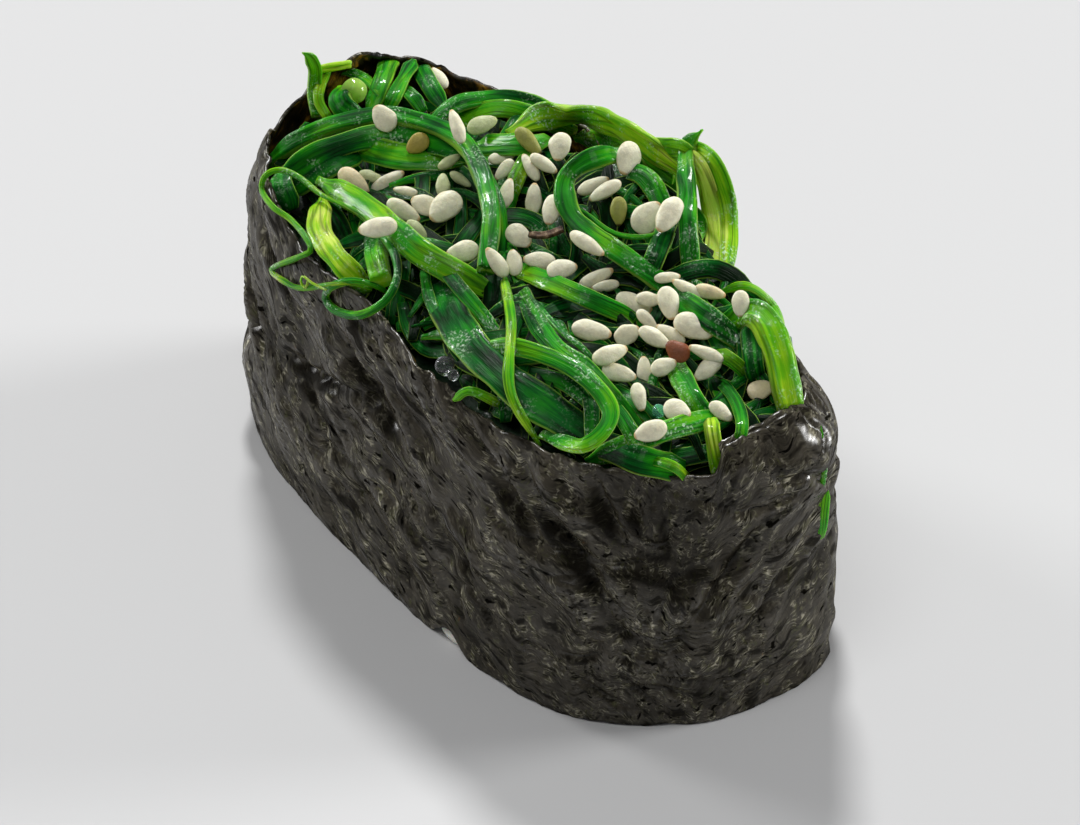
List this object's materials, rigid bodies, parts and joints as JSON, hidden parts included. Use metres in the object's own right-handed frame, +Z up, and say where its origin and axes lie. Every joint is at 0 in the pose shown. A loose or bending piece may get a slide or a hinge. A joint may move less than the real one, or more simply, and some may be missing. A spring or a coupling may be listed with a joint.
{
  "type": "gunkan sushi",
  "caption": "Oval piece of rice in a tall nori wrap, heaped with green seaweed salad strands and sesame seeds.",
  "frame": {"origin": "middle of the underside, on the surface that the sushi stands on", "axes": "+X along the length towards the end where the nori overlaps, +Y across, +Z up"},
  "size_m": [0.0628, 0.0314, 0.0334],
  "materials": {
    "nori": "dark dried seaweed sheet, damp, fibrous, satin sheen",
    "rice": "cooked short-grain rice, slightly glossy",
    "seaweed": "wet green seaweed strands with cream sesame seeds, glossy"
  },
  "bodies": {
    "root": {"nori": "nori", "rice": "rice", "salad": "seaweed"}
  },
  "joints": []
}
